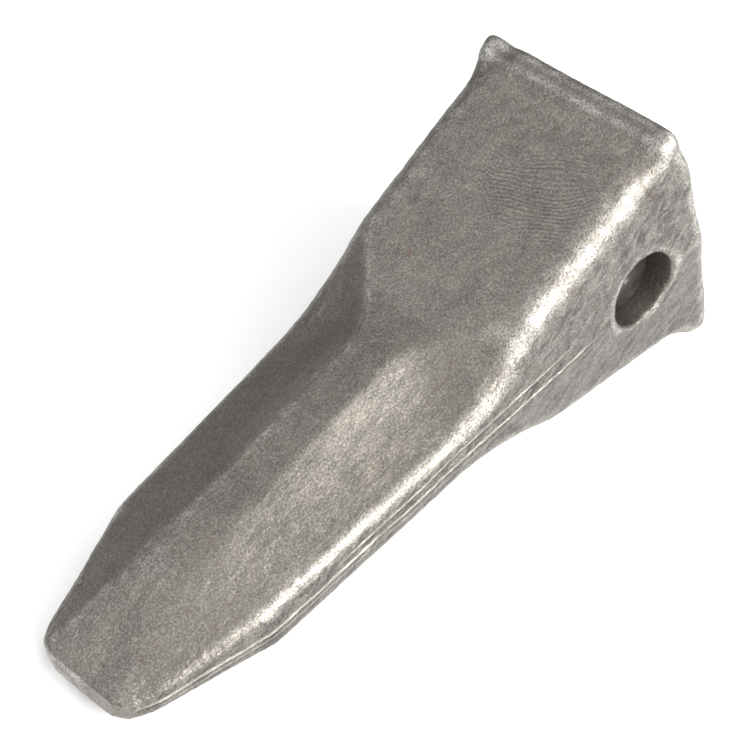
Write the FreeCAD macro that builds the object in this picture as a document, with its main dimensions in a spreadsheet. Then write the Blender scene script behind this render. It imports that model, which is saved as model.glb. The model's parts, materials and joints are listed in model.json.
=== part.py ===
import FreeCAD, Part
import os

import Sketcher
from FreeCAD import Placement, Rotation, Vector

# Excavator bucket tooth with its locking hardware: a forged point that slips over an adapter nose,
# a driven side pin, the split spring ring that locks the pin and the rubber seat of that ring.
#
# Each piece is drawn in the tooth's own axes: x forward out of the tip, y to the left, z up, from
# the centre of the rear rim, with the parting plane of the forging at z = 0. Its Placement then
# lays it down as it rests on the ground: on the bottom lip of the rim and on the crest of the
# underside, so that the ground is z = 0 and the origin is under the middle of the tooth.

doc = FreeCAD.newDocument("bucket_tooth")

# ---------------------------------------------------------------- driving sizes, mm and degrees

SIZES = [
    ("tooth_length", 270.0, "rear rim to tip"),
    ("rear_width", 98.4, "at the parting plane, at the rim"),
    ("rear_height", 106.6, "over the deck and the belly, without the lip"),
    ("side_draft", 6.0, "forging draft of the side faces"),
    ("side_taper", 2.386, "plan angle of each side of the box"),
    ("deck_length", 101.6, "rim to where the deck runs out on the crown"),
    ("box_end", 82.0, "rim to where the flanks start"),
    ("box_edge_cut", 5.0, "bevel along the deck's edges"),
    ("lip_edge_cut", 3.0, "bevel at the ends of the lip"),
    ("deck_margin", 2.6, "deck's bevel to the line that the flank starts from"),
    ("lip_rise", 2.4, "height of the lip above the deck"),
    ("lip_length", 15.0, "rim to the front of the lip"),
    ("lip_front", 5.1, "sloped front of the lip"),
    ("rim_bevel", 3.0, "bevel around the rear rim"),
    ("neck_length", 54.0, "over which the side faces narrow from the box to the wings"),
    ("scoop_length", 38.0, "over which the deck narrows to the crown"),
    ("crown_width", 18.0, "flat crown along the blade"),
    ("crown_rear_height", 53.0, "over both crowns at the end of the box"),
    ("crown_front_height", 38.0, "over both crowns where the tip facet starts"),
    ("facet_length", 44.0, "tip facet"),
    ("facet_crown_width", 14.6, "crown where the tip facet starts"),
    ("wing_station", 150.0, "station at which the wings are measured"),
    ("wing_setback", 3.7, "side of the box, at its end, to the side of the wings"),
    ("wing_edge", 18.0, "height of the wings' side faces, with their bevels"),
    ("blade_edge_cut", 2.0, "bevel along the wings' edges"),
    ("shoulder_length", 54.0, "tip to where the blade starts to narrow"),
    ("shoulder_setback", 3.2, "side of the wings to the side of the shoulders"),
    ("tip_width", 46.4, "across the tip"),
    ("tip_height", 8.0, "thickness of the tip's cutting edge"),
    ("tip_edge", 6.0, "height of the side faces at the tip"),
    ("tip_cut", 1.0, "bevel along the side faces at the tip"),
    ("tip_bow", 3.0, "rise of the tip's curved front edge"),
    ("ear_wall", 15.2, "wall beside the socket, at the rim"),
    ("deck_wall", 11.3, "wall over and under the socket, at the rim"),
    ("socket_flat_width", 45.0, "socket at its stabilising flats"),
    ("socket_flat_height", 25.0, "between the stabilising flats"),
    ("socket_flat_start", 85.0, "rim to the stabilising flats"),
    ("socket_flat_length", 22.0, "stabilising flats, up to the thrust face"),
    ("socket_corner", 8.0, "corner bevel of the socket at the rim"),
    ("socket_flat_corner", 4.0, "corner bevel of the socket at its flats"),
    ("bore_station", 32.4, "rim to the pin bore's axis"),
    ("bore_diameter", 30.0, "pin bore through both ears"),
    ("pin_clearance", 0.4, "radial, pin to bore"),
    ("pin_recess", 10.0, "left ear's outer face to the pin's head end"),
    ("pin_foot_recess", 4.9, "right ear's outer face to the pin's foot end"),
    ("pin_chamfer", 2.5, "both ends of the pin"),
    ("groove_depth", 2.2, "radial depth of the pin's locking groove"),
    ("ring_thickness", 3.0, "lock ring along the bore"),
    ("ring_section", 5.0, "radial section of the lock ring"),
    ("ring_gap", 30.0, "angle left open by the split ring"),
    ("ring_clearance", 0.3, "all round the lock ring"),
    ("cushion_section", 3.2, "radial section of the rubber seat"),
    ("seat_wall", 11.0, "ear wall left behind the ring seat"),
]

# The blank is one run of drafted sections. Each place has a station x, a half width y at the
# parting plane, a height z at which its side face and its flank would meet, the bevel cut off that
# corner, and the corner of its crown.
PLACES = [
    "rim", "crest_start", "crest_end", "lip_foot", "box",
    "neck_a", "neck_b", "neck_c", "neck_d", "neck_e", "neck_end",
    "wing", "shoulder", "facet", "tip",
]
NECK_PLACES = PLACES[5:11]

DERIVED = [
    ("draft_tan", "tan(side_draft * 1deg)"),
    ("taper_tan", "tan(side_taper * 1deg)"),
    # stations along the tooth
    ("crest_start_x", "rim_bevel"),
    ("crest_end_x", "lip_length - lip_front"),
    ("lip_foot_x", "lip_length"),
    ("box_x", "box_end"),
    ("wing_x", "wing_station"),
    ("shoulder_x", "tooth_length - shoulder_length"),
    ("facet_x", "tooth_length - facet_length"),
    ("tip_x", "tooth_length"),
    # the crown and the deck fall towards the tip and meet where the deck ends
    ("crown_fall", "(crown_rear_height - crown_front_height) / 2 / (facet_x - box_x)"),
    ("deck_end_z", "crown_rear_height / 2 - crown_fall * (deck_length - box_x)"),
    ("deck_fall", "(rear_height / 2 - deck_end_z) / deck_length"),
    # box
    ("rim_z", "rear_height / 2 - rim_bevel"),
    ("crest_start_z", "rear_height / 2 + lip_rise - deck_fall * crest_start_x"),
    ("crest_end_z", "rear_height / 2 + lip_rise - deck_fall * crest_end_x"),
    ("lip_foot_z", "rear_height / 2 - deck_fall * lip_foot_x"),
    ("box_z", "rear_height / 2 - deck_fall * box_x"),
    ("rim_y", "rear_width / 2 - rim_bevel / 2"),
    ("crest_start_y", "rear_width / 2 - taper_tan * crest_start_x"),
    ("crest_end_y", "rear_width / 2 - taper_tan * crest_end_x"),
    ("lip_foot_y", "rear_width / 2 - taper_tan * lip_foot_x"),
    ("box_y", "rear_width / 2 - taper_tan * box_x"),
    ("deck_y", "box_y - box_z * draft_tan - box_edge_cut - deck_margin"),
    # blade
    ("crown_y", "crown_width / 2"),
    ("wing_y", "box_y - wing_setback"),
    ("wing_z", "wing_edge / 2"),
    ("neck_fall", "(box_y - wing_y) / (wing_x - box_x)"),
    ("shoulder_y", "wing_y - shoulder_setback"),
    ("shoulder_z", "wing_z"),
    ("tip_y", "tip_width / 2"),
    ("tip_z", "tip_edge / 2"),
    ("facet_share", "(facet_x - shoulder_x) / (tip_x - shoulder_x)"),
    ("facet_y", "shoulder_y - (shoulder_y - tip_y) * facet_share"),
    ("facet_z", "shoulder_z - (shoulder_z - tip_z) * facet_share"),
]

for place in ("rim", "crest_start", "crest_end", "lip_foot", "box"):
    on_lip = place in ("rim", "crest_start", "crest_end")
    DERIVED.append((place + "_cut", "lip_edge_cut" if on_lip else "box_edge_cut"))
    DERIVED.append((place + "_crown_y", "deck_y"))
    DERIVED.append((place + "_crown_z", place + "_z"))
for step, place in enumerate(NECK_PLACES, start=1):
    share = f"{step} / {len(NECK_PLACES)}"
    swing = f"cos(180deg * min(1; ({place}_x - box_x) / scoop_length))"
    DERIVED.append((place + "_x", f"box_x + neck_length * {share}"))
    DERIVED.append((place + "_y", f"box_y - neck_fall * ({place}_x - box_x)"))
    DERIVED.append((place + "_z", f"wing_z + (box_z - wing_z) * (1 - {share}) ^ 2"))
    DERIVED.append((place + "_cut", f"box_edge_cut - (box_edge_cut - blade_edge_cut) * {share}"))
    DERIVED.append((place + "_crown_y", f"crown_y + (deck_y - crown_y) * (1 + {swing}) / 2"))
    DERIVED.append((place + "_deck_z", f"rear_height / 2 - deck_fall * {place}_x"))
    DERIVED.append((place + "_ridge_z", f"crown_rear_height / 2 - crown_fall * ({place}_x - box_x)"))
    DERIVED.append((place + "_crown_z", f"max({place}_deck_z; {place}_ridge_z)"))
for place in ("wing", "shoulder", "facet"):
    DERIVED.append((place + "_cut", "blade_edge_cut"))
    DERIVED.append((place + "_crown_z", f"crown_rear_height / 2 - crown_fall * ({place}_x - box_x)"))
DERIVED.append(("wing_crown_y", "crown_y"))
DERIVED.append(("shoulder_crown_y", "(crown_y + facet_crown_y) / 2"))
DERIVED.append(("facet_crown_y", "facet_crown_width / 2"))
DERIVED.append(("tip_crown_z", "tip_height / 2"))
DERIVED.append(("tip_crown_y", "tip_y - tip_edge / 2"))
for place in PLACES:
    DERIVED.append((place + "_corner_y", f"{place}_y - {place}_z * draft_tan"))
    DERIVED.append((place + "_side_z", f"{place}_z - {place}_cut"))
    DERIVED.append((place + "_side_y", f"{place}_y - {place}_side_z * draft_tan"))
    DERIVED.append((place + "_bevel_y", f"{place}_corner_y - {place}_cut"))
    rise = f"({place}_crown_z - {place}_z) / ({place}_corner_y - {place}_crown_y)"
    DERIVED.append((place + "_bevel_z", f"{place}_z + {place}_cut * {rise}"))

DERIVED += [
    # curved front edge of the tip
    ("bow_radius", "(tip_y ^ 2 + tip_bow ^ 2) / (2 * tip_bow)"),
    ("bow_x", "tooth_length - bow_radius"),
    ("bow_corner_x", "tooth_length - 3 * tip_bow"),
    ("bow_corner_y", "sqrt(bow_radius ^ 2 - (bow_corner_x - bow_x) ^ 2)"),
    ("bow_far_x", "tooth_length + tip_bow"),
    # socket
    ("mouth_y", "rear_width / 2 - ear_wall"),
    ("mouth_z", "rear_height / 2 - deck_wall"),
    ("flat_y", "socket_flat_width / 2"),
    ("flat_z", "socket_flat_height / 2"),
    ("mouth_bevel_y", "mouth_y - socket_corner"),
    ("mouth_bevel_z", "mouth_z - socket_corner"),
    ("flat_bevel_y", "flat_y - socket_flat_corner"),
    ("flat_bevel_z", "flat_z - socket_flat_corner"),
    # bore, pin and lock ring along the bore's axis
    ("ear_face", "rear_width / 2 - taper_tan * bore_station"),
    ("bore_radius", "bore_diameter / 2"),
    ("pin_radius", "bore_radius - pin_clearance"),
    ("pin_foot", "ear_face - pin_foot_recess"),
    ("pin_length", "pin_foot + ear_face - pin_recess"),
    ("seat_floor", "ear_face - seat_wall"),
    ("ring_outer_face", "seat_floor - ring_clearance"),
    ("groove_inner", "ring_outer_face - ring_thickness - ring_clearance"),
    ("groove_radius", "pin_radius - groove_depth"),
    ("ring_bore", "groove_radius + ring_clearance"),
    ("ring_outside", "ring_bore + ring_section"),
    ("cushion_bore", "ring_outside + ring_clearance"),
    ("seat_radius", "cushion_bore + cushion_section"),
    ("ring_sweep", "360 - ring_gap"),
    ("pin_end_radius", "pin_radius - pin_chamfer"),
    ("pin_head_edge", "pin_length - pin_chamfer"),
    ("groove_start", "pin_foot - seat_floor"),
    ("groove_stop", "pin_foot - groove_inner"),
    ("cushion_length", "ring_thickness + ring_clearance"),
    # attitude on the ground
    ("rest_tilt", "atan((crest_start_z - facet_crown_z) / (facet_x - crest_start_x))"),
    ("tilt_sin", "sin(rest_tilt)"),
    ("tilt_cos", "cos(rest_tilt)"),
    ("ground_z", "facet_x * tilt_sin + facet_crown_z * tilt_cos"),
    ("rear_reach", "rim_z * tilt_sin"),
    ("tip_reach", "tooth_length * tilt_cos + tip_crown_z * tilt_sin"),
    ("middle_x", "(rear_reach - tip_reach) / 2"),
    ("axle_x", "middle_x + bore_station * tilt_cos"),
    ("axle_z", "ground_z - bore_station * tilt_sin"),
]

sheet = doc.addObject("Spreadsheet::Sheet", "sizes")
for row, (alias, value, meaning) in enumerate(SIZES, start=1):
    sheet.set(f"A{row}", meaning)
    sheet.set(f"B{row}", str(value))
    sheet.setAlias(f"B{row}", alias)
doc.recompute()
for row, (alias, formula) in enumerate(DERIVED, start=len(SIZES) + 1):
    sheet.set(f"B{row}", "=" + formula)
    sheet.setAlias(f"B{row}", alias)
doc.recompute()


def size(alias):
    """The number in a named cell."""
    value = sheet.get(alias)
    return float(getattr(value, "Value", value))


# ---------------------------------------------------------------- sketch helpers

START = 1
END = 2
CENTRE = 3
ORIGIN = (-1, START)
ACROSS = -1
UP = -2


def new_body(label):
    body = doc.addObject("PartDesign::Body", label)
    body.Label = label
    return body


def origin_plane(body, role):
    return [plane for plane in body.Origin.OriginFeatures if plane.Role == role][0]


def new_sketch(body, name, plane, station=None):
    """A sketch on one of the body's origin planes, moved along the plane's normal to a station."""
    sketch = body.newObject("Sketcher::SketchObject", name)
    sketch.AttachmentSupport = (origin_plane(body, plane), [""])
    sketch.MapMode = "FlatFace"
    if station:
        sketch.setExpression("AttachmentOffset.Base.z", "sizes." + station)
    return sketch


def bind(sketch, kind, places, alias):
    """Add a dimension and bind it to a named cell."""
    index = sketch.addConstraint(Sketcher.Constraint(kind, *places, size(alias)))
    sketch.setExpression(f"Constraints[{index}]", "sizes." + alias)


def place_point(sketch, point, across, up):
    """Hold a sketch point at two named distances from the origin, or on an axis for None."""
    if across is None:
        sketch.addConstraint(Sketcher.Constraint("PointOnObject", *point, UP))
    else:
        bind(sketch, "DistanceX", (*ORIGIN, *point), across)
    if up is None:
        sketch.addConstraint(Sketcher.Constraint("PointOnObject", *point, ACROSS))
    else:
        bind(sketch, "DistanceY", (*ORIGIN, *point), up)


def closed_lines(sketch, corners):
    """A closed run of lines through the corners; line n starts at corner n."""
    lines = []
    for corner, following in zip(corners, corners[1:] + corners[:1]):
        edge = Part.LineSegment(Vector(*corner, 0), Vector(*following, 0))
        lines.append(sketch.addGeometry(edge))
    for line, following in zip(lines, lines[1:] + lines[:1]):
        sketch.addConstraint(Sketcher.Constraint("Coincident", line, END, following, START))
    return lines


def named_outline(sketch, corners):
    """A closed run of lines whose corners are pairs of named distances from the origin."""
    values = [(size(u) if u else 0.0, size(v) if v else 0.0) for u, v in corners]
    for line, (across, up) in zip(closed_lines(sketch, values), corners):
        place_point(sketch, (line, START), across, up)


def cross_section(body, name, station, quarter):
    """A section across the tooth, symmetric about both axes. The quarter lists the corners of its
    upper left quarter, from the side to the top, as pairs of named half sizes."""
    sketch = new_sketch(body, name, "YZ_Plane", station)
    corners = [(size(y), size(z) if z else 0.0) for y, z in quarter]
    raised = [corner for corner in corners if corner[1] > 0]
    top = corners + [(-y, z) for y, z in reversed(corners)]
    bottom = [(-y, -z) for y, z in raised] + [(y, -z) for y, z in reversed(raised)]
    lines = closed_lines(sketch, top + bottom)
    for line, (across, up) in zip(lines, quarter):
        place_point(sketch, (line, START), across, up)
    flat = len(corners) - len(raised)
    for index in range(len(corners)):
        mirror(sketch, lines[index], lines[2 * len(corners) - 1 - index], UP)
    for index in range(flat, len(corners)):
        below = lines[len(lines) - 1 - index + flat]
        mirror(sketch, lines[index], below, ACROSS)
        mirror(sketch, below, lines[2 * len(corners) + index - flat], UP)
    return sketch


def mirror(sketch, line, twin, axis):
    """Make the starts of two lines mirror images about an axis of the sketch."""
    sketch.addConstraint(Sketcher.Constraint("Symmetric", line, START, twin, START, axis))


def loft(body, kind, name, sections):
    feature = body.newObject("PartDesign::" + kind, name)
    feature.Profile = sections[0]
    feature.Sections = sections[1:]
    feature.Ruled = True
    doc.recompute()
    return feature


def pocket(body, name, sketch, depth=None, ahead=False):
    """Cut a sketch out of a body: clean through both ways, or to a named depth, against the
    sketch's normal or ahead along it."""
    before = body.Shape.Volume
    feature = body.newObject("PartDesign::Pocket", name)
    feature.Profile = sketch
    if depth:
        feature.Type = "Length"
        feature.Reversed = ahead
        feature.setExpression("Length", "sizes." + depth)
    else:
        feature.Type = "ThroughAll"
        feature.Midplane = True
    doc.recompute()
    if body.Shape.Volume > before - 1.0:
        raise RuntimeError(name + " removes nothing")


def revolved(body, name, corners, sweep=None):
    """A turned piece: an outline of named (radius, place along the bore) pairs about the bore."""
    sketch = new_sketch(body, name + "_outline", "XY_Plane")
    named_outline(sketch, corners)
    feature = body.newObject("PartDesign::Revolution", name)
    feature.Profile = sketch
    feature.ReferenceAxis = (sketch, ["V_Axis"])
    if sweep:
        feature.setExpression("Angle", f"sizes.{sweep} * 1deg")
    doc.recompute()


def lay_down(body, base_x, base_z):
    """Lay a body, drawn in the tooth's axes, on the ground."""
    body.Placement = Placement(Vector(0, 0, 0), Rotation(Vector(0, 1, 0), size("rest_tilt")))
    body.setExpression("Placement.Base.x", "sizes." + base_x)
    body.setExpression("Placement.Base.z", "sizes." + base_z)
    body.setExpression("Placement.Rotation.Angle", "sizes.rest_tilt")


# ---------------------------------------------------------------- tooth point: forged blank

point = new_body("tooth_point")

blank_sections = []
for place in PLACES:
    station = None if place == "rim" else place + "_x"
    quarter = [
        (place + "_y", None),
        (place + "_side_y", place + "_side_z"),
        (place + "_bevel_y", place + "_bevel_z"),
        (place + "_crown_y", place + "_crown_z"),
    ]
    blank_sections.append(cross_section(point, "section_" + place, station, quarter))
loft(point, "AdditiveLoft", "blank", blank_sections)

# The front edge of the tip is bowed in plan: what lies ahead of one circle is cut off.
tip_plan = new_sketch(point, "tip_plan", "XY_Plane")
bow_top = Vector(size("bow_corner_x"), size("bow_corner_y"), 0)
bow_bottom = Vector(bow_top.x, -bow_top.y, 0)
ahead_top = Vector(size("bow_far_x"), bow_top.y, 0)
ahead_bottom = Vector(ahead_top.x, -bow_top.y, 0)
tip_plan.addGeometry(Part.Arc(bow_bottom, Vector(size("tooth_length"), 0, 0), bow_top))
for corner, following in ((bow_top, ahead_top), (ahead_top, ahead_bottom), (ahead_bottom, bow_bottom)):
    tip_plan.addGeometry(Part.LineSegment(corner, following))
tip_plan.addConstraint(Sketcher.Constraint("Coincident", 0, END, 1, START))
tip_plan.addConstraint(Sketcher.Constraint("Coincident", 1, END, 2, START))
tip_plan.addConstraint(Sketcher.Constraint("Coincident", 2, END, 3, START))
tip_plan.addConstraint(Sketcher.Constraint("Coincident", 3, END, 0, START))
tip_plan.addConstraint(Sketcher.Constraint("Horizontal", 1))
tip_plan.addConstraint(Sketcher.Constraint("Horizontal", 3))
place_point(tip_plan, (0, CENTRE), "bow_x", None)
bind(tip_plan, "Radius", (0,), "bow_radius")
bind(tip_plan, "DistanceX", (*ORIGIN, 0, END), "bow_corner_x")
bind(tip_plan, "DistanceX", (*ORIGIN, 0, START), "bow_corner_x")
bind(tip_plan, "DistanceX", (*ORIGIN, 1, END), "bow_far_x")
tip_plan.addConstraint(Sketcher.Constraint("Vertical", 2))
pocket(point, "tip_bow_cut", tip_plan)

# ---------------------------------------------------------------- tooth point: socket and bore

SOCKET_ENDS = [("mouth", "mouth", None), ("root", "flat", "socket_flat_start")]
socket_sections = []
for name, place, station in SOCKET_ENDS:
    quarter = [(place + "_y", place + "_bevel_z"), (place + "_bevel_y", place + "_z")]
    socket_sections.append(cross_section(point, "socket_" + name, station, quarter))
loft(point, "SubtractiveLoft", "socket", socket_sections)

# Ahead of the taper the socket runs on with parallel walls, up to the thrust face.
flats_quarter = [("flat_y", "flat_bevel_z"), ("flat_bevel_y", "flat_z")]
flats_section = cross_section(point, "socket_flats_section", "socket_flat_start", flats_quarter)
pocket(point, "socket_flats", flats_section, "socket_flat_length", ahead=True)

bore_plan = new_sketch(point, "bore_plan", "XZ_Plane")
bore_middle = Vector(size("bore_station"), 0, 0)
bore_plan.addGeometry(Part.Circle(bore_middle, Vector(0, 0, 1), size("bore_radius")))
place_point(bore_plan, (0, CENTRE), "bore_station", None)
bind(bore_plan, "Radius", (0,), "bore_radius")
pocket(point, "bore", bore_plan)

# The lock ring's seat is a counterbore in the inner wall of the right ear.
seat_plan = new_sketch(point, "seat_plan", "XZ_Plane", "seat_floor")
seat_plan.addGeometry(Part.Circle(bore_middle, Vector(0, 0, 1), size("seat_radius")))
place_point(seat_plan, (0, CENTRE), "bore_station", None)
bind(seat_plan, "Radius", (0,), "seat_radius")
pocket(point, "ring_seat", seat_plan, "seat_floor")

lay_down(point, "middle_x", "ground_z")

# ---------------------------------------------------------------- pin, lock ring and its rubber seat

# Place along the bore grows to the left; the pin's foot and the ring are in the right ear, so the
# turned pieces are drawn from the foot end and their bodies stand off the middle by these cells.
pin = new_body("retaining_pin")
revolved(pin, "pin_turning", [
    (None, None),
    ("pin_end_radius", None),
    ("pin_radius", "pin_chamfer"),
    ("pin_radius", "groove_start"),
    ("groove_radius", "groove_start"),
    ("groove_radius", "groove_stop"),
    ("pin_radius", "groove_stop"),
    ("pin_radius", "pin_head_edge"),
    ("pin_end_radius", "pin_length"),
    (None, "pin_length"),
])
lay_down(pin, "axle_x", "axle_z")
pin.setExpression("Placement.Base.y", "-sizes.pin_foot")

ring = new_body("lock_ring")
revolved(ring, "ring_turning", [
    ("ring_bore", None),
    ("ring_outside", None),
    ("ring_outside", "ring_thickness"),
    ("ring_bore", "ring_thickness"),
], sweep="ring_sweep")
lay_down(ring, "axle_x", "axle_z")
ring.setExpression("Placement.Base.y", "-sizes.ring_outer_face")

cushion = new_body("ring_cushion")
revolved(cushion, "cushion_turning", [
    ("cushion_bore", None),
    ("seat_radius", None),
    ("seat_radius", "cushion_length"),
    ("cushion_bore", "cushion_length"),
])
lay_down(cushion, "axle_x", "axle_z")
cushion.setExpression("Placement.Base.y", "-sizes.seat_floor")

doc.recompute()

# ---------------------------------------------------------------- checks and export

PIECES = [point, pin, ring, cushion]

for item in doc.Objects:
    if "Invalid" in item.State or "Error" in item.State:
        raise RuntimeError(item.Name + " failed: " + str(item.State))
for piece in PIECES:
    if piece.Shape.isNull() or not piece.Shape.isValid():
        raise RuntimeError(piece.Label + " has no valid shape")

os.makedirs("parts", exist_ok=True)
for piece in PIECES:
    piece.Shape.exportStep(f"parts/{piece.Label}.step")
    box = piece.Shape.BoundBox
    spans = [(box.XMin, box.XMax), (box.YMin, box.YMax), (box.ZMin, box.ZMax)]
    reach = [f"{low:.1f} to {high:.1f}" for low, high in spans]
    print(piece.Label, f"{piece.Shape.Volume / 1000:.1f} cm3", reach)
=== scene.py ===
import json
import math

import bmesh
import bpy
import numpy as np
from mathutils import Euler, Matrix, Vector, noise


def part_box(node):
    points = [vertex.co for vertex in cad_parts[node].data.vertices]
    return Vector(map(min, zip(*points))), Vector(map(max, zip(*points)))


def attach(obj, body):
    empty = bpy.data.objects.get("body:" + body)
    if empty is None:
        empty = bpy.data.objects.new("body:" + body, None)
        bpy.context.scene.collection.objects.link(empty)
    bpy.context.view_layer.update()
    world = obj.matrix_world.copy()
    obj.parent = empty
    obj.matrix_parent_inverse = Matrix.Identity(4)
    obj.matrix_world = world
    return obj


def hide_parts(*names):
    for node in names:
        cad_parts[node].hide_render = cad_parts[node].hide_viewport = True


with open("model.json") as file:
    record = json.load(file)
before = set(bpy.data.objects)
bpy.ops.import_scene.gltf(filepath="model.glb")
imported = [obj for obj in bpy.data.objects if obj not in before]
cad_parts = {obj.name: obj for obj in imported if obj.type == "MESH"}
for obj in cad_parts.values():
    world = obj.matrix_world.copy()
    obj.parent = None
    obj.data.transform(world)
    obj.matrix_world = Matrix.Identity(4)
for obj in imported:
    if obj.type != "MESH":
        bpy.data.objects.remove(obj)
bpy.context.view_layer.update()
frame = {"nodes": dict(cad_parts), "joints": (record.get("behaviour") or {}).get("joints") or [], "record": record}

MM = 0.001

# ------------------------------------------------------------------ the tooth's own axes

# Lengths below are millimetres in the tooth's own axes: x forward out of the tip, y to the left,
# z up, from the middle of the rear rim. The record's joint and socket face say how they lie.
BORE_STATION = 32.4
BORE_RADIUS = 15.0
SOCKET_MOUTH = (34.0, 42.0)
SOCKET_END = (22.5, 12.5)
SOCKET_FLAT_START = 85.0
SOCKET_DEPTH = 107.0

mounts = {mount["name"]: mount for mount in frame["record"]["mounts"]}
joints = {joint["name"]: joint for joint in frame["joints"]}
socket_axis = Vector(mounts["thrust_face"]["axis"])
TILT = math.atan2(socket_axis.z, -socket_axis.x)
LAY = Matrix.Rotation(TILT, 4, "Y")
bore_centre = Vector(joints["pin_turn"]["pos_m"])
TO_ROW = Matrix.Translation(bore_centre - LAY @ Vector((BORE_STATION * MM, 0, 0))) @ LAY
TO_TOOTH = TO_ROW.inverted()


# ------------------------------------------------------------------ mesh helpers


def new_piece(name, mesh, material, body, node):
    """A finished mesh, already in place, that rides on a body and stands for a CAD node."""
    piece = bpy.data.objects.new(name, mesh)
    bpy.context.scene.collection.objects.link(piece)
    mesh.materials.clear()
    mesh.materials.append(material)
    mesh.polygons.foreach_set("use_smooth", [True] * len(mesh.polygons))
    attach(piece, body)
    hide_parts(node)
    return piece


def step(low, high, values):
    """Smooth rise from 0 at low to 1 at high."""
    share = np.clip((values - low) / (high - low), 0.0, 1.0)
    return share * share * (3.0 - 2.0 * share)


def noise_at(points, cell, seed, octaves=1):
    """Gradient noise at each point, about -1 to 1, with a cell of so many millimetres."""
    shift = Vector((seed * 17.3, seed * -9.1, seed * 5.7))
    if octaves == 1:
        return np.array([noise.noise(Vector(p) / cell + shift) for p in points])
    return np.array([noise.fractal(Vector(p) / cell + shift, 0.6, 2.1, octaves) for p in points])


def points_of(mesh):
    flat = np.zeros(len(mesh.vertices) * 3)
    mesh.vertices.foreach_get("co", flat)
    return flat.reshape(-1, 3)


def normals_of(mesh):
    flat = np.zeros(len(mesh.vertices) * 3)
    mesh.vertices.foreach_get("normal", flat)
    return flat.reshape(-1, 3)


def set_points(mesh, points):
    mesh.vertices.foreach_set("co", points.ravel())
    mesh.update()


def relax(mesh, rounds):
    """Average each vertex with its neighbours, as many rounds as the vertex's own number."""
    points = points_of(mesh)
    pairs = np.zeros(len(mesh.edges) * 2, np.int32)
    mesh.edges.foreach_get("vertices", pairs)
    first, second = pairs.reshape(-1, 2).T
    degree = np.bincount(pairs, minlength=len(points))[:, None].astype(float)
    for turn in range(int(math.ceil(rounds.max()))):
        total = np.zeros_like(points)
        for axis in range(3):
            total[:, axis] += np.bincount(first, points[second, axis], len(points))
            total[:, axis] += np.bincount(second, points[first, axis], len(points))
        share = np.clip(rounds - turn, 0.0, 1.0)[:, None] * RELAX_SHARE
        points += (total / degree - points) * share
    set_points(mesh, points)


# ------------------------------------------------------------------ forging: shape

VOXEL = 1.35
RELAX_SHARE = 0.6
SEAT_BORE = 23.0
SEAT_INNER = 37.6
SKIN_INSET = 0.10
HIDDEN_RELIEF = 0.15
FLASH_BAND = 7.0
FLASH_FROM = 50.0
FLASH_WIDTH = 0.42
FLASH_RISE = 0.55
FLASH_CUT = 0.40
TIP_DRAW = 2.6
TIP_CORNER = 1.5


def tooth_blank():
    """The CAD forging in the tooth's own axes, in millimetres, as an even closed skin."""
    mesh = frame["nodes"]["tooth_point"].data.copy()
    form = bmesh.new()
    form.from_mesh(mesh)
    bmesh.ops.remove_doubles(form, verts=form.verts, dist=1e-6)
    bmesh.ops.transform(form, matrix=Matrix.Scale(1.0 / MM, 4) @ TO_TOOTH, verts=form.verts)
    form.to_mesh(mesh)
    form.free()
    holder = bpy.data.objects.new("blank", mesh)
    bpy.context.scene.collection.objects.link(holder)
    skin = holder.modifiers.new("skin", "REMESH")
    skin.mode = "VOXEL"
    skin.voxel_size = VOXEL
    even = bpy.data.meshes.new_from_object(holder.evaluated_get(bpy.context.evaluated_depsgraph_get()))
    bpy.data.objects.remove(holder)
    return even


def socket_share(points):
    """1 inside the socket and the bore, 0 on the outside."""
    x, y, z = points.T
    along = np.clip(x / SOCKET_FLAT_START, 0.0, 1.0)
    half_y = SOCKET_MOUTH[0] + (SOCKET_END[0] - SOCKET_MOUTH[0]) * along
    half_z = SOCKET_MOUTH[1] + (SOCKET_END[1] - SOCKET_MOUTH[1]) * along
    inside = (np.abs(y) < half_y + 1.5) & (np.abs(z) < half_z + 1.5) & (x < SOCKET_DEPTH + 1.5)
    bore = np.hypot(x - BORE_STATION, z) < BORE_RADIUS + 1.2
    seat = (np.hypot(x - BORE_STATION, z) < SEAT_BORE) & (y < 0) & (y > -SEAT_INNER)
    return (inside | bore | seat).astype(float)


def rounding(points):
    """How many rounds of smoothing each vertex gets: broad on the deck's edges, less along the
    neck and the wings, and little at the cutting edge, the rim, the socket and the bore."""
    x, y, z = points.T
    edge = step(24.0, 38.0, np.abs(y))
    broad = 20.0 * (1.0 - step(96.0, 140.0, x)) * step(12.0, 26.0, x) * step(8.0, 20.0, np.abs(z))
    rounds = 2.0 + edge * (broad + 2.0 * step(20.0, 40.0, x))
    rounds += 12.0 * step(9.0, 14.0, x) * (1.0 - step(18.0, 30.0, x)) * step(6.0, 12.0, np.abs(z))
    # the crown's right edge is blunt and its left edge keeps a fine line
    blunt = (1.0 - edge) * step(70.0, 90.0, x) * (1.0 - step(200.0, 232.0, x))
    rounds += blunt * (3.0 + 30.0 * step(0.0, 6.0, y))
    facet_start = step(204.0, 216.0, x) * (1.0 - step(238.0, 250.0, x)) * (1.0 - step(8.0, 14.0, np.abs(y)))
    rounds += 26.0 * facet_start
    tip = step(244.0, 264.0, x)
    rounds = rounds * (1.0 - tip) + 3.0 * tip
    hidden = socket_share(points)
    return rounds * (1.0 - hidden) + 1.0 * hidden


def flank_hollow(points):
    """Depth of the hollow fuller in each flank, deepest where the flank is widest."""
    x, y, _ = points.T
    inner = 9.0 + 24.0 * (1.0 - step(82.0, 120.0, x))
    outer = 43.0 - 0.055 * np.clip(x - 82.0, 0.0, None)
    width = outer - inner
    across = np.clip((np.abs(y) - inner) / width, 0.0, 1.0)
    fade = step(86.0, 104.0, x) * (1.0 - step(120.0, 224.0, x))
    return 0.062 * width * fade * np.sin(math.pi * across ** 0.8)


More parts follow.
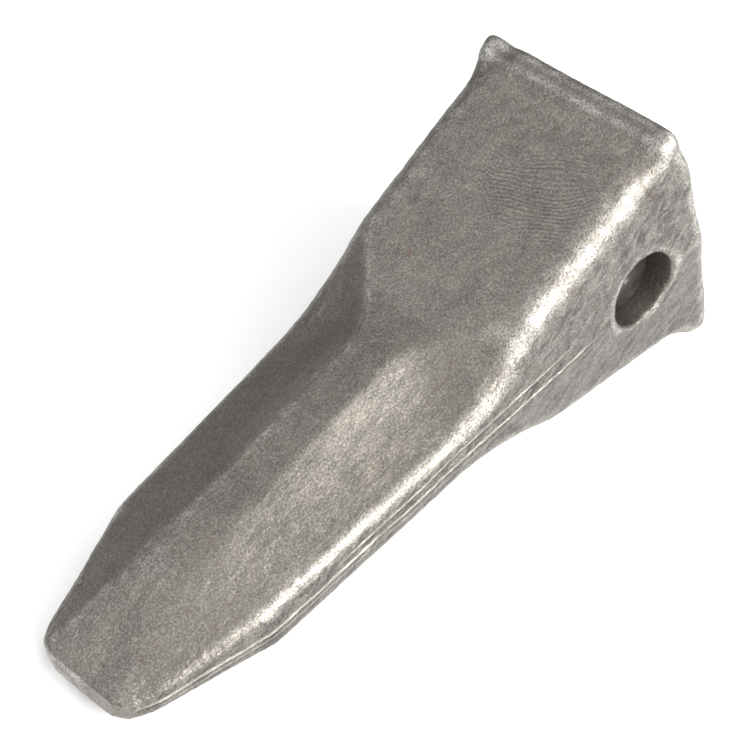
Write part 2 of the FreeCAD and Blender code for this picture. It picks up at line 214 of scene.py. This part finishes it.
def refine_flash_band(mesh):
    """Cut the faces along the parting line finer, so that the flash lines have room."""
    form = bmesh.new()
    form.from_mesh(mesh)
    band = []
    for edge in form.edges:
        middle = (edge.verts[0].co + edge.verts[1].co) * 0.5
        along_side = abs(middle.z - 1.0) < FLASH_BAND and middle.x > FLASH_FROM and abs(middle.y) > 20.0
        if along_side and socket_share(np.array([middle]))[0] == 0.0:
            band.append(edge)
    bmesh.ops.subdivide_edges(form, edges=band, cuts=2, use_grid_fill=True)
    form.to_mesh(mesh)
    form.free()


def flash_height(points, normals):
    """Flash and lap lines left by the dies along the parting plane, one set on each side: their height, and a 0 to
    1 share of ridge and of undercut, which the skin's colour also uses for a painted highlight on the ridge and
    painted shade in the undercut."""
    x, y, z = points.T
    side = np.sign(y)
    facing = step(0.35, 0.7, np.abs(normals[:, 1]))
    track_points = np.column_stack([x, side * 40.0, 0 * x])
    wander = noise_at(track_points, 38.0, 3)
    flutter = noise_at(track_points, 9.0, 4)
    crest_and_highlight = np.zeros_like(x)
    undercut_and_shade = np.zeros_like(x)
    # place across the side face, lean, start and end station, and share of the full height
    lines = [
        (0.6, 0.004, 54.0, 270.0, 1.00),
        (4.2, -0.020, 66.0, 186.0, 0.70),
        (-2.6, 0.010, 96.0, 262.0, 0.45),
    ]
    for place, lean, start, stop, share in lines:
        track = place + lean * (x - 160.0) + 0.55 * wander + 0.12 * flutter
        ends = step(start, start + 16.0, x) * (1.0 - step(stop - 12.0, stop, x))
        share = share * ends * np.clip(0.85 + 0.45 * flutter, 0.3, 1.1)
        crest_and_highlight = np.maximum(crest_and_highlight, share * np.exp(-(((z - track) / FLASH_WIDTH) ** 2)))
        below = z - track + 2.2 * FLASH_WIDTH
        undercut_and_shade = np.maximum(undercut_and_shade, share * np.exp(-((below / FLASH_WIDTH) ** 2)))
    return crest_and_highlight * facing, undercut_and_shade * facing


def ripples(points, normals):
    """Place across the fine curved ripples on the rear of the deck, and how strong they are."""
    x, y, _ = points.T
    across = 0.88 * x + 0.47 * y
    along = 0.88 * y - 0.47 * x
    arc = across + 0.006 * along ** 2 + 2.2 * noise_at(points, 13.0, 6) + 0.5 * noise_at(points, 5.0, 14)
    flat = step(0.90, 0.955, np.abs(normals[:, 2]))
    away = np.hypot((x - 42.0) / 20.0, (y - 14.0) / 27.0) + 0.45 * noise_at(points, 14.0, 7)
    return arc, flat * (1.0 - step(0.55, 1.05, away))


def forging_relief(points, arc, rippled):
    """Depth of the forged skin below the die's surface: waves, scale pits and wrinkles."""
    waves = 0.22 * noise_at(points, 26.0, 1, 2)
    grain = 0.12 * noise_at(points, 3.1, 2, 3)
    wrinkles = 0.045 * rippled * np.sin(arc * 1.95)
    # the skin is creased beside the lip
    x = points[:, 0]
    beside_lip = step(12.0, 18.0, x) * (1.0 - step(24.0, 44.0, x))
    creased = points * np.array([0.55, 1.0, 1.0]) + np.array([0.0, 0.0, 1.0]) * x[:, None] * 0.3
    creases = -0.50 * beside_lip * np.abs(noise_at(creased, 4.4, 12, 2)) ** 0.7
    # streaks run forward along the flanks and the sides
    stretched = points * np.array([0.16, 1.0, 1.0])
    streaks = 0.12 * (1.0 - rippled) * noise_at(stretched, 2.4, 8, 2)
    # scale pits, in patches
    patches = step(-0.05, 0.25, noise_at(points, 38.0, 10))
    pits = -0.35 * step(0.40, 0.60, noise_at(points, 6.0, 9)) * patches
    return waves + grain + wrinkles + creases + streaks + pits


def chips(points):
    """Dents and a chip at the rear corners of the deck, in millimetres along x, y and z."""
    move = np.zeros_like(points)
    for centre, reach, push in (
        ((3.0, 42.5, 47.0), 6.5, (1.5, -1.3, -0.6)),
        ((5.0, -34.0, 54.0), 5.0, (0.3, 0.4, -1.5)),
        ((12.0, -38.0, 51.0), 4.5, (-0.2, 0.5, -1.2)),
        ((7.0, -41.5, 46.0), 5.0, (0.4, 1.2, -0.4)),
        ((262.0, 22.0, 2.0), 6.0, (-1.2, -1.4, -0.4)),
    ):
        away = np.linalg.norm(points - np.array(centre), axis=1)
        move += np.exp(-((away / reach) ** 2))[:, None] * np.array(push)
    return move


def square_rear(points):
    """The rear rim is full and square: its corners stand out as far as its sides do."""
    x, y, z = points.T
    moved = points.copy()
    near = 1.0 - step(3.0, 22.0, x)
    outer = near * step(30.0, 44.0, np.abs(y)) * step(12.0, 42.0, np.abs(z)) * (1.0 - socket_share(points))
    moved[:, 1] += np.sign(y) * 1.7 * outer
    moved[:, 2] += np.sign(z) * 0.9 * outer
    return moved


def draw_tip(points):
    """The cutting edge is drawn forward of the blank's, and its corners are rounded off."""
    moved = points.copy()
    front = step(240.0, 268.0, points[:, 0])
    corner = step(258.0, 269.0, points[:, 0]) * step(14.0, 23.0, np.abs(points[:, 1]))
    moved[:, 0] += TIP_DRAW * front - TIP_CORNER * corner
    moved[:, 1] -= np.sign(points[:, 1]) * TIP_CORNER * corner
    return moved


def store(mesh, name, values):
    """Keep one number per vertex on the mesh for its material."""
    mesh.attributes.new(name, "FLOAT", "POINT").data.foreach_set("value", values.astype(np.float32))


def bulge(mesh):
    """How far each vertex stands out from the average of its neighbours, along its normal."""
    points = points_of(mesh)
    smooth = mesh.copy()
    relax(smooth, np.full(len(points), 6.0))
    out = ((points - points_of(smooth)) * normals_of(mesh)).sum(axis=1)
    bpy.data.meshes.remove(smooth)
    return out


def forged_point(material):
    mesh = tooth_blank()
    relax(mesh, rounding(points_of(mesh)))
    set_points(mesh, draw_tip(square_rear(points_of(mesh))))
    refine_flash_band(mesh)
    points = points_of(mesh)
    normals = normals_of(mesh)
    edges = bulge(mesh)
    outside = 1.0 - socket_share(points)
    shown = outside * (1.0 - HIDDEN_RELIEF) + HIDDEN_RELIEF
    flank = step(0.25, 0.5, np.abs(normals[:, 2]))
    arc, rippled = ripples(points, normals)
    depth = forging_relief(points, arc, rippled) - SKIN_INSET - flank_hollow(points) * flank * outside
    crest_and_highlight, undercut_and_shade = flash_height(points, normals)
    points += chips(points)
    points += normals * (depth * shown + FLASH_RISE * crest_and_highlight - FLASH_CUT * undercut_and_shade)[:, None]
    set_points(mesh, points)
    x, y, _ = points.T
    # Convex edges, for a lighter colour that is partly rubbed steel and partly a painted highlight, broken into
    # specks by noise and weak on the crown's right edge
    right_crown = step(0.0, 5.0, y) * (1.0 - step(22.0, 30.0, y)) * step(70.0, 90.0, x)
    broken = step(-0.25, 0.35, noise_at(points, 5.0, 13))
    edges = np.clip((edges - 0.03) / 0.12, 0.0, 1.0) * outside
    store(mesh, "edge", edges * (1.0 - 0.85 * right_crown) * (0.35 + 0.65 * broken))
    # Faces turned to either side, for the painted shade that darkens them in the material
    store(mesh, "side", step(0.70, 0.97, np.abs(normals[:, 1])) * outside)
    store(mesh, "arc", arc)
    store(mesh, "rippled", rippled)
    # Flash-line ridges and undercuts, for a painted highlight on the ridges and painted shade in the undercuts
    store(mesh, "crest_and_highlight", crest_and_highlight)
    store(mesh, "undercut_and_shade", undercut_and_shade)
    mesh.transform(TO_ROW @ Matrix.Scale(MM, 4))
    low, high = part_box("tooth_point")
    set_points(mesh, np.clip(points_of(mesh), np.array(low), np.array(high)))
    return new_piece("tooth_forging", mesh, material, "tooth", "tooth_point")


# ------------------------------------------------------------------ turned pieces


def turned(outline, steps, sweep=None):
    """Spin a closed outline of (radius, place along the bore) corners about the bore."""
    form = bmesh.new()
    ring = [form.verts.new((radius, along, 0.0)) for radius, along in outline]
    edges = [form.edges.new((a, b)) for a, b in zip(ring, ring[1:])]
    whole = sweep is None
    if not whole:
        edges.append(form.edges.new((ring[-1], ring[0])))
        form.faces.new(ring)
    geometry = ring + edges + list(form.faces)
    bmesh.ops.spin(
        form, geom=geometry, cent=(0, 0, 0), axis=(0, 1, 0), dvec=(0, 0, 0),
        angle=FULL_TURN if whole else sweep, steps=steps, use_merge=whole,
        use_normal_flip=False, use_duplicate=False,
    )
    bmesh.ops.remove_doubles(form, verts=form.verts, dist=1e-4)
    bmesh.ops.recalc_face_normals(form, faces=form.faces)
    return form


def finish_turned(form, name, along):
    """Place a turned form on the bore's axis, in the row frame."""
    mesh = bpy.data.meshes.new(name)
    form.to_mesh(mesh)
    form.free()
    place = Matrix.Translation(Vector((BORE_STATION * MM, along * MM, 0)))
    mesh.transform(TO_ROW @ place @ Matrix.Scale(MM, 4))
    return mesh


def rounded(corners, radius, pieces=4, closed=True):
    """An outline with each corner turned into a short run of points on a curve."""
    outline = []
    count = len(corners)
    for index, corner in enumerate(corners):
        here = Vector(corner)
        if not closed and index in (0, count - 1):
            outline.append(tuple(here))
            continue
        before = Vector(corners[index - 1]) - here
        after = Vector(corners[(index + 1) % count]) - here
        cut = min(radius, 0.45 * before.length, 0.45 * after.length)
        start = here + before.normalized() * cut
        stop = here + after.normalized() * cut
        for n in range(pieces + 1):
            share = n / pieces
            spot = start * (1 - share) ** 2 + here * 2 * share * (1 - share) + stop * share ** 2
            outline.append(tuple(spot))
    return outline


PIN_RADIUS = 14.6
PIN_CHAMFER = 2.5
GROOVE_RADIUS = 12.4
RING_THICKNESS = 3.0
RING_SECTION = 5.0
RING_CLEARANCE = 0.3
RING_SWEEP = math.radians(330.0)
SEAT_SECTION = 3.2
# centre drillings in the pin's ends
DRILL_RADIUS = 2.6
DRILL_THROAT = 1.8
DRILL_FLARE = 0.9
DRILL_DEPTH = 2.6
# rounding of each outline's corners, and the facets round a turned piece
PIN_ROUND = 0.7
RING_ROUND = 0.8
SEAT_ROUND = 0.9
PIN_STEPS = 96
RING_STEPS = 110
FULL_TURN = 2.0 * math.pi


def along_bore(node):
    """Lowest and highest place of a CAD node along the bore, in millimetres."""
    low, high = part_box(node)
    return low.y / MM, high.y / MM


def drift_pin(material):
    foot, head = along_bore("retaining_pin")
    ring_low, ring_high = along_bore("lock_ring")
    groove_low = ring_low - RING_CLEARANCE - foot
    groove_high = ring_high + RING_CLEARANCE - foot
    end = PIN_RADIUS - PIN_CHAMFER
    corners = [
        (0.0, DRILL_DEPTH), (DRILL_THROAT, DRILL_FLARE), (DRILL_RADIUS, 0.0), (end, 0.0),
        (PIN_RADIUS, PIN_CHAMFER),
        (PIN_RADIUS, groove_low), (GROOVE_RADIUS, groove_low), (GROOVE_RADIUS, groove_high),
        (PIN_RADIUS, groove_high), (PIN_RADIUS, head - foot - PIN_CHAMFER), (end, head - foot),
        (DRILL_RADIUS, head - foot), (DRILL_THROAT, head - foot - DRILL_FLARE),
        (0.0, head - foot - DRILL_DEPTH),
    ]
    outline = rounded(corners, PIN_ROUND, closed=False)
    form = turned(outline, PIN_STEPS)
    mesh = finish_turned(form, "drift_pin", foot)
    return new_piece("drift_pin", mesh, material, "pin", "retaining_pin")


def split_ring(material):
    low, _ = along_bore("lock_ring")
    inner = GROOVE_RADIUS + RING_CLEARANCE
    outer = inner + RING_SECTION
    corners = [(inner, 0.0), (outer, 0.0), (outer, RING_THICKNESS), (inner, RING_THICKNESS)]
    form = turned(rounded(corners, RING_ROUND), RING_STEPS, RING_SWEEP)
    mesh = finish_turned(form, "split_ring", low)
    return new_piece("split_ring", mesh, material, "ring", "lock_ring")


def rubber_seat(material):
    low, high = along_bore("ring_cushion")
    inner = GROOVE_RADIUS + 2 * RING_CLEARANCE + RING_SECTION
    outer = inner + SEAT_SECTION
    corners = [(inner, 0.0), (outer, 0.0), (outer, high - low), (inner, high - low)]
    outline = rounded(corners, SEAT_ROUND)
    form = turned(outline + outline[:1], RING_STEPS)
    mesh = finish_turned(form, "rubber_seat", low)
    return new_piece("rubber_seat", mesh, material, "tooth", "ring_cushion")


# ------------------------------------------------------------------ materials


class Nodes:
    """A material's node tree with short calls for the nodes used here."""

    def __init__(self, name):
        self.material = bpy.data.materials.new(name)
        self.material.use_nodes = True
        self.tree = self.material.node_tree
        self.shader = self.tree.nodes["Principled BSDF"]
        self.place = self.add("ShaderNodeTexCoord").outputs["Object"]

    def add(self, kind, **settings):
        node = self.tree.nodes.new(kind)
        for key, value in settings.items():
            setattr(node, key, value)
        return node

    def link(self, source, target):
        self.tree.links.new(source, target)

    def mapped(self, scale, turn=(0, 0, 0)):
        """Object coordinates, turned and then scaled, so that a pattern can be drawn out."""
        node = self.add("ShaderNodeMapping", vector_type="TEXTURE")
        node.inputs["Rotation"].default_value = turn
        node.inputs["Scale"].default_value = scale
        self.link(self.place, node.inputs["Vector"])
        return node.outputs["Vector"]

    def noise(self, cell, detail=3.0, rough=0.55, where=None, distortion=0.0):
        """Noise with a cell of so many millimetres."""
        node = self.add("ShaderNodeTexNoise")
        node.inputs["Scale"].default_value = 1000.0 / cell
        node.inputs["Detail"].default_value = detail
        node.inputs["Roughness"].default_value = rough
        node.inputs["Distortion"].default_value = distortion
        self.link(where or self.place, node.inputs["Vector"])
        return node.outputs["Fac"]

    def attribute(self, name):
        """One of the numbers kept on the mesh."""
        return self.add("ShaderNodeAttribute", attribute_name=name).outputs["Fac"]

    def ramp(self, source, *stops):
        """A colour ramp of (position, value or colour) stops."""
        node = self.add("ShaderNodeValToRGB")
        elements = node.color_ramp.elements
        while len(elements) < len(stops):
            elements.new(1.0)
        for element, (position, colour) in zip(elements, stops):
            element.position = position
            grey = (colour, colour, colour) if isinstance(colour, float) else colour
            element.color = (*grey, 1.0)
        self.link(source, node.inputs["Fac"])
        return node.outputs["Color"]

    def mix(self, share, first, second, blend="MIX"):
        node = self.add("ShaderNodeMix", data_type="RGBA", blend_type=blend)
        sockets = (node.inputs["Factor"], node.inputs[6], node.inputs[7])
        for socket, value in zip(sockets, (share, first, second)):
            if isinstance(value, (int, float)):
                socket.default_value = value
            elif isinstance(value, tuple):
                socket.default_value = (*value, 1.0)
            else:
                self.link(value, socket)
        return node.outputs[2]

    def maths(self, operation, first, second=0.0):
        node = self.add("ShaderNodeMath", operation=operation)
        for socket, value in zip(node.inputs, (first, second)):
            if isinstance(value, (int, float)):
                socket.default_value = value
            else:
                self.link(value, socket)
        return node.outputs["Value"]

    def bump(self, height, depth, strength=1.0):
        """Bump whose full height is so many millimetres deep."""
        node = self.add("ShaderNodeBump")
        node.inputs["Strength"].default_value = strength
        node.inputs["Distance"].default_value = depth * MM
        self.link(height, node.inputs["Height"])
        return node.outputs["Normal"]

    def finish(self, colour, rough, normal, metallic):
        self.link(colour, self.shader.inputs["Base Color"])
        self.link(rough, self.shader.inputs["Roughness"])
        self.link(normal, self.shader.inputs["Normal"])
        self.shader.inputs["Metallic"].default_value = metallic
        return self.material


def forged_steel():
    """Bare forged steel: warm grey scale, fine grain and a little rust; convex edges lighter, partly rubbed steel
    and partly a painted highlight; faces turned to either side painted darker as painted shade; flash-line ridges
    with a painted highlight and their undercuts with painted shade.
    """
    steel = Nodes("forged_steel")
    broad = steel.noise(42.0, 3.0)
    medium = steel.noise(9.0, 4.0, 0.6)
    grain = steel.noise(0.75, 3.0, 0.7)
    coarse = steel.noise(2.2, 3.0, 0.6)
    drawn = steel.noise(1.0, 3.0, 0.6, steel.mapped((6.0, 1.0, 1.0), (0.0, TILT, 0.0)))
    folds = steel.noise(3.4, 5.0, 0.7, steel.mapped((2.6, 1.0, 1.0), (0.0, TILT + 0.5, 0.0)), 0.8)
    scale_tone = steel.ramp(broad, (0.30, (0.143, 0.132, 0.117)), (0.72, (0.190, 0.176, 0.157)))
    patch_tone = steel.ramp(medium, (0.30, (0.124, 0.118, 0.110)), (0.70, (0.212, 0.194, 0.171)))
    tone = steel.mix(0.5, scale_tone, patch_tone)
    # Painted shade: faces turned to either side are painted darker, with fold streaks in the dark tone
    side = steel.attribute("side")
    painted_side_shade_tone = steel.ramp(folds, (0.36, (0.062, 0.059, 0.056)), (0.62, (0.188, 0.179, 0.166)))
    tone = steel.mix(steel.maths("MULTIPLY", side, 0.85), tone, painted_side_shade_tone)
    speckle = steel.ramp(grain, (0.34, 0.45), (0.50, 0.86), (0.64, 1.75))
    tone = steel.mix(0.60, tone, speckle, "MULTIPLY")
    spots = steel.ramp(steel.noise(3.2, 5.0, 0.7), (0.58, 0.0), (0.72, 1.0))
    rusty = steel.ramp(steel.noise(24.0, 2.0), (0.46, 0.0), (0.64, 0.7))
    tone = steel.mix(steel.maths("MULTIPLY", spots, rusty), tone, (0.150, 0.072, 0.040))
    # Convex edges lightened: partly rubbed bare steel, partly a painted highlight
    wear_and_highlight = steel.maths("MULTIPLY", steel.attribute("edge"), steel.ramp(grain, (0.38, 0.1), (0.56, 1.0)))
    tone = steel.mix(steel.maths("MULTIPLY", wear_and_highlight, 0.75), tone, (0.50, 0.49, 0.46))
    # Painted highlight on the flash lines' ridges and painted shade in their undercuts
    tone = steel.mix(steel.maths("MULTIPLY", steel.attribute("crest_and_highlight"), 0.85), tone, (0.58, 0.55, 0.51))
    tone = steel.mix(steel.maths("MULTIPLY", steel.attribute("undercut_and_shade"), 0.85), tone, (0.030, 0.026, 0.022))
    rough = steel.ramp(steel.mix(0.5, grain, medium), (0.32, 0.56), (0.66, 0.36))
    wave = steel.maths("SINE", steel.maths("MULTIPLY", steel.attribute("arc"), 3.9))
    wave = steel.maths("MULTIPLY", wave, steel.attribute("rippled"))
    relief = steel.maths("ADD", steel.mix(0.45, grain, drawn), steel.maths("MULTIPLY", coarse, 0.8))
    relief = steel.maths("ADD", relief, steel.maths("MULTIPLY", wave, 0.13))
    relief = steel.maths("ADD", relief, steel.maths("MULTIPLY", steel.maths("MULTIPLY", folds, side), 2.6))
    return steel.finish(tone, rough, steel.bump(relief, 0.25), 0.88)


def blackened_pin():
    """Turned pin, blackened in oil, with lathe marks and rubbed high spots."""
    pin = Nodes("pin_steel")
    turning = pin.noise(0.5, 2.0, 0.5, pin.mapped((30.0, 1.0, 30.0)))
    patch = pin.noise(7.0, 4.0, 0.6)
    tone = pin.ramp(patch, (0.30, (0.030, 0.029, 0.028)), (0.72, (0.075, 0.070, 0.064)))
    tone = pin.mix(pin.ramp(turning, (0.55, 0.0), (0.80, 0.35)), tone, (0.20, 0.19, 0.18))
    rough = pin.ramp(patch, (0.30, 0.36), (0.75, 0.58))
    return pin.finish(tone, rough, pin.bump(turning, 0.05, 0.6), 0.85)


def spring_steel():
    """Tempered spring steel with a straw-blue tint."""
    ring = Nodes("spring_steel")
    patch = ring.noise(5.0, 3.0, 0.6)
    fine = ring.noise(0.6, 3.0, 0.6)
    tone = ring.ramp(patch, (0.30, (0.15, 0.16, 0.19)), (0.70, (0.27, 0.25, 0.22)))
    rough = ring.ramp(fine, (0.30, 0.30), (0.75, 0.48))
    return ring.finish(tone, rough, ring.bump(fine, 0.04, 0.6), 0.95)


def seat_rubber():
    """Moulded black rubber with a dusty bloom."""
    rubber = Nodes("seat_rubber")
    bloom = rubber.noise(4.0, 4.0, 0.6)
    fine = rubber.noise(0.5, 2.0, 0.5)
    tone = rubber.ramp(bloom, (0.35, (0.016, 0.016, 0.017)), (0.75, (0.055, 0.053, 0.050)))
    rough = rubber.ramp(bloom, (0.30, 0.62), (0.75, 0.85))
    return rubber.finish(tone, rough, rubber.bump(fine, 0.08, 0.5), 0.0)


def pale_floor():
    floor = Nodes("pale_floor")
    tone = floor.ramp(floor.noise(180.0, 2.0), (0.3, (0.93, 0.93, 0.93)), (0.7, (0.95, 0.95, 0.95)))
    floor.link(tone, floor.shader.inputs["Base Color"])
    floor.shader.inputs["Roughness"].default_value = 0.9
    return floor.material


# ------------------------------------------------------------------ floor, lights and camera

# Lens and place of the camera in the tooth's own axes, and its turn about x, y and z in degrees.
CAMERA_PLACE = (412.8, 447.2, 694.7)
CAMERA_TURN = (36.74, 10.37, 133.43)
CAMERA_LENS = 118.44


def add_camera():
    camera = bpy.data.objects.new("camera", bpy.data.cameras.new("camera"))
    camera.data.lens = CAMERA_LENS
    camera.data.sensor_width = 36.0
    camera.data.clip_start = 0.01
    turn = Euler([math.radians(angle) for angle in CAMERA_TURN], "XYZ").to_matrix().to_4x4()
    camera.matrix_world = TO_ROW @ Matrix.Translation(Vector(CAMERA_PLACE) * MM) @ turn
    bpy.context.scene.collection.objects.link(camera)
    bpy.context.scene.camera = camera


def add_floor():
    form = bmesh.new()
    bmesh.ops.create_grid(form, x_segments=1, y_segments=1, size=14.0)
    mesh = bpy.data.meshes.new("floor")
    form.to_mesh(mesh)
    form.free()
    mesh.materials.append(pale_floor())
    floor = bpy.data.objects.new("floor", mesh)
    bpy.context.scene.collection.objects.link(floor)


def add_light(name, place, size, power, colour=(1.0, 1.0, 1.0)):
    """A soft box, wide and tall in metres, at a place aimed at the middle of the tooth."""
    lamp = bpy.data.lights.new(name, "AREA")
    lamp.shape = "RECTANGLE"
    lamp.size, lamp.size_y = size
    lamp.energy = power
    lamp.color = colour
    holder = bpy.data.objects.new(name, lamp)
    aim = Vector((0.0, 0.0, 0.04)) - Vector(place)
    holder.location = place
    holder.rotation_euler = aim.to_track_quat("-Z", "Y").to_euler()
    bpy.context.scene.collection.objects.link(holder)


def add_lighting():
    world = bpy.data.worlds.new("studio")
    world.use_nodes = True
    world.node_tree.nodes["Background"].inputs["Color"].default_value = (1.0, 1.0, 1.0, 1.0)
    world.node_tree.nodes["Background"].inputs["Strength"].default_value = 0.28
    bpy.context.scene.world = world
    add_light("key", (-0.10, 1.35, 0.80), (1.70, 0.45), 57.0, (1.0, 0.985, 0.96))
    add_light("top", (-0.42, 0.52, 1.46), (1.00, 1.00), 15.0, (1.0, 0.99, 0.97))
    add_light("fill", (0.45, -0.80, 1.30), (1.10, 0.90), 7.0, (0.97, 0.98, 1.0))
    add_light("front", (1.25, -0.10, 1.05), (0.80, 0.80), 8.0)


forged_point(forged_steel())
drift_pin(blackened_pin())
split_ring(spring_steel())
rubber_seat(seat_rubber())
add_floor()
add_lighting()
add_camera()
bpy.context.scene.view_settings.view_transform = "Standard"
